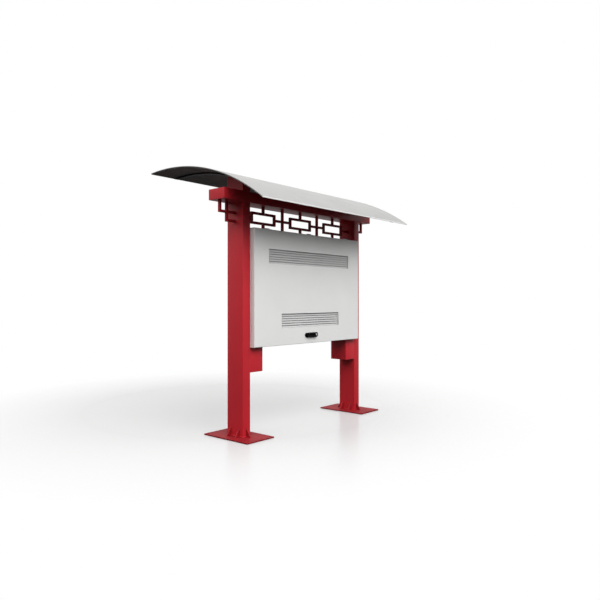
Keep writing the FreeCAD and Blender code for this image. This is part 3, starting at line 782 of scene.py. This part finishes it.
def coating(name):
    """The material of a finish: tone drift, fine grain and dust over a Principled shader."""
    finish = FINISHES[name]
    if finish.title in bpy.data.materials:
        return bpy.data.materials[finish.title]
    colour = finish.colour
    if isinstance(colour, str):
        colour = getattr(bpy.context.scene.kiosk_colours, colour)
    colour = shade(colour, finish.share)
    material = bpy.data.materials.new(finish.title)
    material.use_nodes = True
    tree = material.node_tree
    shader = tree.nodes["Principled BSDF"]
    shader.inputs["Metallic"].default_value = finish.metallic
    shader.inputs["Specular IOR Level"].default_value = finish.specular
    tone = place_group(material, "Coating tone", colour=shade(colour, 1.0),
                       deeper_colour=shade(colour, finish.patches), roughness=finish.roughness)
    grain = place_group(material, "Coating grain", grain_scale=finish.grain_scale)
    base = tone.outputs["Colour"]
    if finish.dust:
        mask = place_group(material, "Settled dust", amount=finish.dust)
        base = mix_colours(tree, mask.outputs["Mask"], base, DUST_COLOUR)
    lift = tree.nodes.new("ShaderNodeBump")
    lift.inputs["Strength"].default_value = finish.bump
    lift.inputs["Distance"].default_value = 0.0004
    tree.links.new(grain.outputs["Height"], lift.inputs["Height"])
    tree.links.new(lift.outputs["Normal"], shader.inputs["Normal"])
    tree.links.new(base, shader.inputs["Base Color"])
    tree.links.new(tone.outputs["Roughness"], shader.inputs["Roughness"])
    return material


def screen_material():
    """Dark screen under clear glass, with a black border printed on the glass."""
    name = "Dark screen glass"
    if name in bpy.data.materials:
        return bpy.data.materials[name]
    low, high = span("screen_glass")
    border = bpy.context.scene.kiosk_sizes.glass_border
    colours = bpy.context.scene.kiosk_colours
    material = bpy.data.materials.new(name)
    material.use_nodes = True
    tree = material.node_tree
    shader = tree.nodes["Principled BSDF"]
    shader.inputs["Roughness"].default_value = 0.10
    shader.inputs["Specular IOR Level"].default_value = 0.1
    shader.inputs["Coat Weight"].default_value = 0.4
    shader.inputs["Coat Roughness"].default_value = 0.02
    apart = tree.nodes.new("ShaderNodeSeparateXYZ")
    tree.links.new(tree.nodes.new("ShaderNodeTexCoord").outputs["Object"], apart.inputs[0])
    edges = []
    for axis, letter in ((X, "X"), (Z, "Z")):
        middle, half = (low[axis] + high[axis]) / 2, (high[axis] - low[axis]) / 2
        offset = math_result(tree, "SUBTRACT", apart.outputs[letter], middle)
        inside = half - border
        edges.append(ramp_value(tree, math_result(tree, "ABSOLUTE", offset), inside - BORDER_BLUR,
                                inside + BORDER_BLUR))
    nearest = math_result(tree, "MAXIMUM", *edges)
    colour = mix_colours(tree, nearest, shade(colours.glass, 1.0), BORDER_COLOUR)
    tree.links.new(colour, shader.inputs["Base Color"])
    return material


# Pieces, one operator for each group of like pieces


class KIOSK_OT_posts(bpy.types.Operator):
    """Posts as round-cornered tubes, welded to their plates, blocks and beam"""

    bl_idname = "kiosk.posts"
    bl_label = "Posts"

    def execute(self, context):
        sizes = context.scene.kiosk_sizes
        corner, bead, ripple = sizes.tube_corner, sizes.bead_radius, sizes.bead_ripple
        for side in SIDES:
            low, high = span(f"{side}_post")
            build_piece(f"{side}_post_tube", [eased_bar(low, high, Z, corner, POST_END)],
                        "frame", coating("red"), [f"{side}_post"])
            thin = bead * THIN_BEAD_SHARE
            welds = [weld_bead(low, high, Z, low[Z] + bead / 2, corner, bead, ripple),
                     weld_bead(low, high, Z, high[Z] - bead / 3, corner, thin, ripple)]
            block_low, block_high = span(f"{side}_support_block")
            inner = block_low[X] if side == "left" else block_high[X]
            block_low[Y] += BEAD_INSET
            block_high[Y] -= BEAD_INSET
            welds.append(weld_bead(block_low, block_high, X, inner, corner, thin, ripple))
            build_piece(f"{side}_post_welds", welds, "frame", coating("red"))
        return {"FINISHED"}


class KIOSK_OT_feet(bpy.types.Operator):
    """Base plates and gussets with eased edges"""

    bl_idname = "kiosk.feet"
    bl_label = "Feet"

    def execute(self, context):
        for side in SIDES:
            # painted shade: the plates wear the red darkened to 0.45, the gussets the red darkened to
            # 0.6
            dress_node(f"{side}_base_plate", coating("foot"))
            dress_node(f"{side}_gussets", coating("fret"), GUSSET_EDGE)
        return {"FINISHED"}


class KIOSK_OT_blocks(bpy.types.Operator):
    """Support blocks under the cabinet as round-cornered boxes"""

    bl_idname = "kiosk.blocks"
    bl_label = "Support blocks"

    def execute(self, context):
        sizes = context.scene.kiosk_sizes
        for side in SIDES:
            low, high = span(f"{side}_support_block")
            corner = sizes.tube_corner * BLOCK_CORNER_SHARE
            build_piece(f"{side}_block_box", [eased_bar(low, high, Z, corner, BLOCK_END)],
                        "frame", coating("red"), [f"{side}_support_block"])
        return {"FINISHED"}


class KIOSK_OT_beam(bpy.types.Operator):
    """Lintel beam with closed ends, and the stubs up to the roof"""

    bl_idname = "kiosk.beam"
    bl_label = "Lintel beam"

    def execute(self, context):
        sizes = context.scene.kiosk_sizes
        corner = sizes.tube_corner
        build_piece("beam_tube", [eased_bar(*span("lintel_beam"), X, corner, BEAM_END)],
                    "frame", coating("red"), ["lintel_beam"])
        caps = [f"{side}_beam_cap" for side in SIDES]
        build_piece("beam_caps", [eased_bar(*span(cap), X, corner, CAP_END) for cap in caps],
                    "frame", coating("red"), caps)
        for side in SIDES:
            dress_node(f"{side}_roof_stub", coating("red"))
            stub_low, stub_high = span(f"{side}_roof_stub")
            build_piece(f"{side}_stub_weld",
                        [weld_bead(stub_low, stub_high, Z, stub_low[Z] + sizes.bead_radius / 2,
                                   STUB_CORNER, sizes.bead_radius, sizes.bead_ripple)],
                        "frame", coating("red"))
        return {"FINISHED"}


class KIOSK_OT_roof(bpy.types.Operator):
    """Arched roof sheet, its lining, the hems along its eaves and the ribs under it"""

    bl_idname = "kiosk.roof"
    bl_label = "Roof"

    def execute(self, context):
        sizes = context.scene.kiosk_sizes
        outer = sizes.roof_radius
        under_sheet = outer - sizes.sheet_thick
        under_lining = under_sheet - sizes.lining_thick
        low, high = span("roof_sheet")
        build_piece("roof_cover", [arched_bar(low[X], high[X], outer, under_sheet, 0, ROOF_EDGE)],
                    "frame", coating("roof"), ["roof_sheet"])
        centre_y, centre_z, front, rear = roof_arc()
        hems = []
        for y, angle, outward in ((low[Y], rear, -1), (high[Y], front, 1)):
            foot = centre_z + under_sheet * math.cos(angle) - sizes.hem_drop
            edges = sorted((y + outward * HEM_END, y - outward * (sizes.hem_thick - HEM_END)))
            hem_low = (low[X], edges[0], foot)
            hem_high = (high[X], edges[1], foot + sizes.hem_height)
            hems.append(eased_bar(hem_low, hem_high, X, HEM_END, HEM_END))
        build_piece("eave_hems", hems, "frame", coating("trim"))
        low, high = span("roof_lining")
        build_piece("roof_underside",
                    [arched_bar(low[X], high[X], under_sheet, under_lining, LINING_SHORT, LINING_EDGE)],
                    "frame", coating("lining"), ["roof_lining"])
        for side in SIDES:
            low, high = span(f"{side}_roof_rib")
            build_piece(f"{side}_arched_rib",
                        [arched_bar(low[X], high[X], under_lining, under_lining - sizes.rib_rise,
                                    sizes.rib_short, ROOF_EDGE, sizes.rib_taper)],
                        "frame", coating("black"), [f"{side}_roof_rib"])
        return {"FINISHED"}


class KIOSK_OT_fretwork(bpy.types.Operator):
    """Fret panels, the bars between them and the corner brackets"""

    bl_idname = "kiosk.fretwork"
    bl_label = "Fretwork"

    def execute(self, context):
        for bay in ("left", "middle", "right"):
            # painted shade: fret panels, divider bars and brackets wear the red darkened to 0.6
            dress_node(f"{bay}_fret_panel", coating("fret"))
        dress_node("fret_divider_bars", coating("fret"))
        for side in SIDES:
            dress_node(f"{side}_fret_bracket", coating("fret"))
        return {"FINISHED"}


class KIOSK_OT_cabinet(bpy.types.Operator):
    """Cabinet shell, rails and door seal"""

    bl_idname = "kiosk.cabinet"
    bl_label = "Cabinet"

    def execute(self, context):
        for node in ("cabinet_bottom", "cabinet_top", "cabinet_left_wall", "cabinet_right_wall"):
            dress_node(node, coating("grey"), SHEET_EDGE)
        for side in SIDES:
            dress_node(f"{side}_module_rail", coating("zinc"))
        dress_node("door_seal", coating("seal"), SEAL_EDGE)
        return {"FINISHED"}


class KIOSK_OT_door(bpy.types.Operator):
    """Service door, its vents and its hinges"""

    bl_idname = "kiosk.door"
    bl_label = "Service door"

    def execute(self, context):
        sizes = context.scene.kiosk_sizes
        vents = {f"{place}_vent": span(f"{place}_vent_grille") for place in ("upper", "lower")}
        openings = [*vents.values(), span("key_cylinder")]
        pan = build_piece("door_pan", [folded_pan(*span("service_door"), sizes.fold_radius, openings)],
                          "door", coating("grey"), ["service_door"], closed=False)
        pan.modifiers.new("Join corners", "WELD").merge_threshold = JOIN_WITHIN
        sheet = pan.modifiers.new("Sheet", "SOLIDIFY")
        sheet.thickness = sizes.door_skin
        sheet.offset = -1
        sheet.use_even_offset = True
        facing = pan.modifiers.new("Flat face", "WEIGHTED_NORMAL")
        facing.weight = 100
        for name, (low, high) in vents.items():
            rim = sizes.vent_rim
            pitch = (high[Z] - low[Z] - 2 * rim) / sizes.louvre_count
            inner_low, inner_high = low + [rim / 2, 0, 0], high - [rim / 2, 0, 0]
            slats = [louvre(inner_low, inner_high, low[Z] + rim + pitch * (index + 0.5))
                     for index in range(sizes.louvre_count)]
            build_piece(f"{name}_louvres", [sleeve(low, high, rim), *slats], "door",
                        coating("vent"), [f"{name}_grille"])
        for node in ("fixed_hinge_knuckles", "door_hinge_knuckles"):
            dress_node(node, coating("grey"), KNUCKLE_EDGE)
        dress_node("hinge_pins", coating("zinc"), FINE_EDGE)
        return {"FINISHED"}


class KIOSK_OT_lock(bpy.types.Operator):
    """Door lock: plate, lever and key cylinder"""

    bl_idname = "kiosk.lock"
    bl_label = "Lock"

    def execute(self, context):
        sizes = context.scene.kiosk_sizes
        low, high = span("lock_plate")
        radius, level = (high[Z] - low[Z]) / 2, (high[Z] + low[Z]) / 2
        ends = [(low[X] + radius, level), (high[X] - radius, level)]
        profile = rounded_front(high[Y], low[Y], LOCK_EDGE)
        profile += [(0.006, low[Y]), (0.007, low[Y] + 0.0008)]
        build_piece("lock_escutcheon", [two_rounds(ends, (radius, radius), profile)],
                    "door", coating("lock"), ["lock_plate"], sharp=SHARP_LOCK)

        key_low, key_high = span("key_cylinder")
        key_x, key_radius = (key_low[X] + key_high[X]) / 2, (key_high[X] - key_low[X]) / 2
        centre = (key_x, 0, level)
        low, high = span("lock_lever")
        back, front = low[Y] + sizes.lever_thick, low[Y]
        profile = [(LOCK_EDGE, back), (0, back - LOCK_EDGE)]
        profile += rounded_front(back - 0.004, front, 0.003)
        profile += [(0.007, front), (0.0085, front + 0.0012)]
        arm = two_rounds([(low[X] + sizes.lever_tip, level), (key_x, level)],
                         (sizes.lever_tip, (high[Z] - low[Z]) / 2), profile)
        spindle = turned([(0.006, back - 0.004), (0.006, high[Y] - 0.001), (0.005, high[Y])], centre)
        build_piece("lock_handle", [arm, spindle], "lever", coating("lock"),
                    ["lock_lever"], sharp=SHARP_LOCK)
        face = key_low[Y]
        profile = [(key_radius, key_high[Y]), (key_radius, face + 0.0007), (key_radius - 0.0007, face),
                   (key_radius * 0.62, face), (key_radius * 0.58, face + 0.0004)]
        build_piece("key_barrel", [turned(profile, centre)], "lever", coating("key"),
                    ["key_cylinder"], sharp=SHARP_KEY)
        slot_low = (key_x - 0.0007, face + 0.0002, level - 0.0032)
        slot_high = (key_x + 0.0007, face + 0.0012, level + 0.0032)
        build_piece("key_slot", [eased_bar(slot_low, slot_high, Y, 0.0003, 0.0001)],
                    "lever", coating("lock"))
        return {"FINISHED"}


class KIOSK_OT_screen(bpy.types.Operator):
    """Bezel with mitred corners, dark glass and the display behind it"""

    bl_idname = "kiosk.screen"
    bl_label = "Screen"

    def execute(self, context):
        sizes = context.scene.kiosk_sizes
        low, high = span("bezel_bottom")
        top = span("bezel_top")[1][Z]
        width, thick, level = high[Z] - low[Z], high[Y] - low[Y], (high[Y] + low[Y]) / 2
        corners = {"left": low[X], "right": high[X], "bottom": low[Z], "top": top}
        runs = (("bottom", ("left", "right"), (0, 0, 1)), ("top", ("left", "right"), (0, 0, -1)),
                ("left", ("bottom", "top"), (1, 0, 0)), ("right", ("bottom", "top"), (-1, 0, 0)))
        for name, ends, inward in runs:
            if name in ("bottom", "top"):
                start, end = ((corners[side], level, corners[name]) for side in ends)
            else:
                start, end = ((corners[name], level, corners[side]) for side in ends)
            build_piece(f"bezel_{name}_bar",
                        [mitred_bar(start, end, inward, width, thick, BEZEL_EDGE, sizes.mitre_seam)],
                        "frame", coating("grey"), [f"bezel_{name}"])
        dress_node("screen_glass", screen_material(), FINE_EDGE)
        case = swaged_case(*span("display_module"), sizes.swage_count, sizes.swage_rise, CASE_EDGE)
        build_piece("display_case", case, "frame", coating("zinc"), ["display_module"])
        return {"FINISHED"}


class KIOSK_OT_stage(bpy.types.Operator):
    """Pale floor, soft lamps and the camera"""

    bl_idname = "kiosk.stage"
    bl_label = "Stage"

    def execute(self, context):
        values = context.scene.kiosk_stage
        self.make_floor(values)
        self.make_world(values)
        self.make_key_lamp(values)
        self.make_camera(values)
        context.scene.view_settings.view_transform = "Standard"
        return {"FINISHED"}

    @staticmethod
    def make_floor(values):
        """A large square just below the feet, pale grey, with a faint gloss."""
        across = np.linspace(-FLOOR_REACH, FLOOR_REACH, 2)
        grid = np.zeros((2, 2, 3))
        grid[:, :, X] = across[:, None]
        grid[:, :, Y] = across[None, :]
        grid[:, :, Z] = CAD_LOW[Z] - 0.0005
        points, faces = quads_of(grid)
        mesh = bpy.data.meshes.new("floor")
        mesh.from_pydata(points.tolist(), [], faces)
        floor = bpy.data.objects.new("floor", mesh)
        bpy.context.scene.collection.objects.link(floor)
        material = bpy.data.materials.new("Pale floor")
        material.use_nodes = True
        mesh.materials.append(material)
        tree = material.node_tree
        shader = tree.nodes["Principled BSDF"]
        shader.inputs["Roughness"].default_value = 0.25
        shader.inputs["Specular IOR Level"].default_value = 0.10
        path = tree.nodes.new("ShaderNodeLightPath")
        seen = math_result(tree, "MULTIPLY_ADD", path.outputs["Is Glossy Ray"], values.floor_mirrored,
                      path.outputs["Is Camera Ray"])
        tone = [(value, value, value, 1) for value in (values.floor_bounce, values.floor_tone)]
        tree.links.new(mix_colours(tree, seen, *tone), shader.inputs["Base Color"])
        distance = tree.nodes.new("ShaderNodeVectorMath")
        distance.operation = "DISTANCE"
        distance.inputs[1].default_value = values.white_centre
        tree.links.new(tree.nodes.new("ShaderNodeTexCoord").outputs["Object"], distance.inputs[0])
        far = ramp_value(tree, distance.outputs["Value"], values.white_from, values.white_to)
        white = tree.nodes.new("ShaderNodeEmission")
        mix_shaders(tree, math_result(tree, "MULTIPLY", far, seen), shader, white, "Material Output")

    @staticmethod
    def make_world(values):
        """Soft light from all round above the horizon; white where camera or reflection see it."""
        world = bpy.data.worlds.new("Studio")
        bpy.context.scene.world = world
        world.use_nodes = True
        tree = world.node_tree
        light = tree.nodes["Background"]
        light.inputs["Color"].default_value = (1, 1, 1, 1)
        apart = tree.nodes.new("ShaderNodeSeparateXYZ")
        tree.links.new(tree.nodes.new("ShaderNodeTexCoord").outputs["Object"], apart.inputs[0])
        full = math.sin(values.sky_full)
        rise = ramp_value(tree, apart.outputs["Z"], math.sin(values.sky_from), full)
        fall = ramp_value(tree, apart.outputs["Z"], full, 1.0, values.sky_strength,
                          values.sky_strength * values.sky_zenith)
        tree.links.new(math_result(tree, "MULTIPLY", rise, fall), light.inputs["Strength"])
        white = tree.nodes.new("ShaderNodeBackground")
        white.inputs["Color"].default_value = (1, 1, 1, 1)
        white.inputs["Strength"].default_value = 1.0
        seen = tree.nodes.new("ShaderNodeLightPath")
        rays = (seen.outputs["Is Camera Ray"], seen.outputs["Is Glossy Ray"])
        either = math_result(tree, "MAXIMUM", *rays)
        mix_shaders(tree, either, light, white, "World Output")

    @staticmethod
    def make_key_lamp(values):
        """A large square lamp high on the door's side, facing the kiosk's middle."""
        lamp = bpy.data.lights.new("key_lamp", "AREA")
        lamp.shape = "SQUARE"
        lamp.size = KEY_SIZE
        lamp.energy = values.key_strength * (math.pi * KEY_DISTANCE) ** 2
        item = bpy.data.objects.new("key_lamp", lamp)
        bpy.context.scene.collection.objects.link(item)
        level = KEY_DISTANCE * math.cos(KEY_HEIGHT)
        item.location = (-level * math.sin(KEY_HEADING), -level * math.cos(KEY_HEADING),
                         KEY_AIM + KEY_DISTANCE * math.sin(KEY_HEIGHT))
        item.rotation_euler = (math.pi / 2 - KEY_HEIGHT, 0, -KEY_HEADING)

    @staticmethod
    def make_camera(values):
        """A level camera at the place, heading and lens of the picture."""
        camera = bpy.data.cameras.new("camera")
        camera.sensor_width = SENSOR_WIDTH
        camera.lens = values.camera_lens
        item = bpy.data.objects.new("camera", camera)
        bpy.context.scene.collection.objects.link(item)
        item.location = values.camera_place
        item.rotation_euler = (math.pi / 2, 0, -values.camera_heading)
        bpy.context.scene.camera = item


class KIOSK_PT_panel(bpy.types.Panel):
    """The kiosk's sizes, colours and pieces."""

    bl_idname = "KIOSK_PT_panel"
    bl_label = "Signage kiosk"
    bl_space_type = "VIEW_3D"
    bl_region_type = "UI"
    bl_category = "Kiosk"

    def draw(self, context):
        for group in (context.scene.kiosk_sizes, context.scene.kiosk_colours, context.scene.kiosk_stage):
            box = self.layout.box()
            for name in group.__annotations__:
                box.prop(group, name)
        for operator in OPERATORS:
            self.layout.operator(operator.bl_idname)


GROUPS = (KioskSizes, KioskColours, KioskStage)
OPERATORS = (
    KIOSK_OT_stage, KIOSK_OT_posts, KIOSK_OT_feet, KIOSK_OT_blocks, KIOSK_OT_beam, KIOSK_OT_roof,
    KIOSK_OT_fretwork, KIOSK_OT_cabinet, KIOSK_OT_door, KIOSK_OT_lock, KIOSK_OT_screen,
)


def register():
    for item in (*GROUPS, *OPERATORS, KIOSK_PT_panel):
        bpy.utils.register_class(item)
    bpy.types.Scene.kiosk_sizes = PointerProperty(type=KioskSizes)
    bpy.types.Scene.kiosk_colours = PointerProperty(type=KioskColours)
    bpy.types.Scene.kiosk_stage = PointerProperty(type=KioskStage)


def unregister():
    del bpy.types.Scene.kiosk_stage
    del bpy.types.Scene.kiosk_colours
    del bpy.types.Scene.kiosk_sizes
    for item in (KIOSK_PT_panel, *reversed(OPERATORS), *reversed(GROUPS)):
        bpy.utils.unregister_class(item)


def main():
    register()
    for operator in OPERATORS:
        group, name = operator.bl_idname.split(".")
        getattr(getattr(bpy.ops, group), name)()


if __name__ == "__main__":
    main()
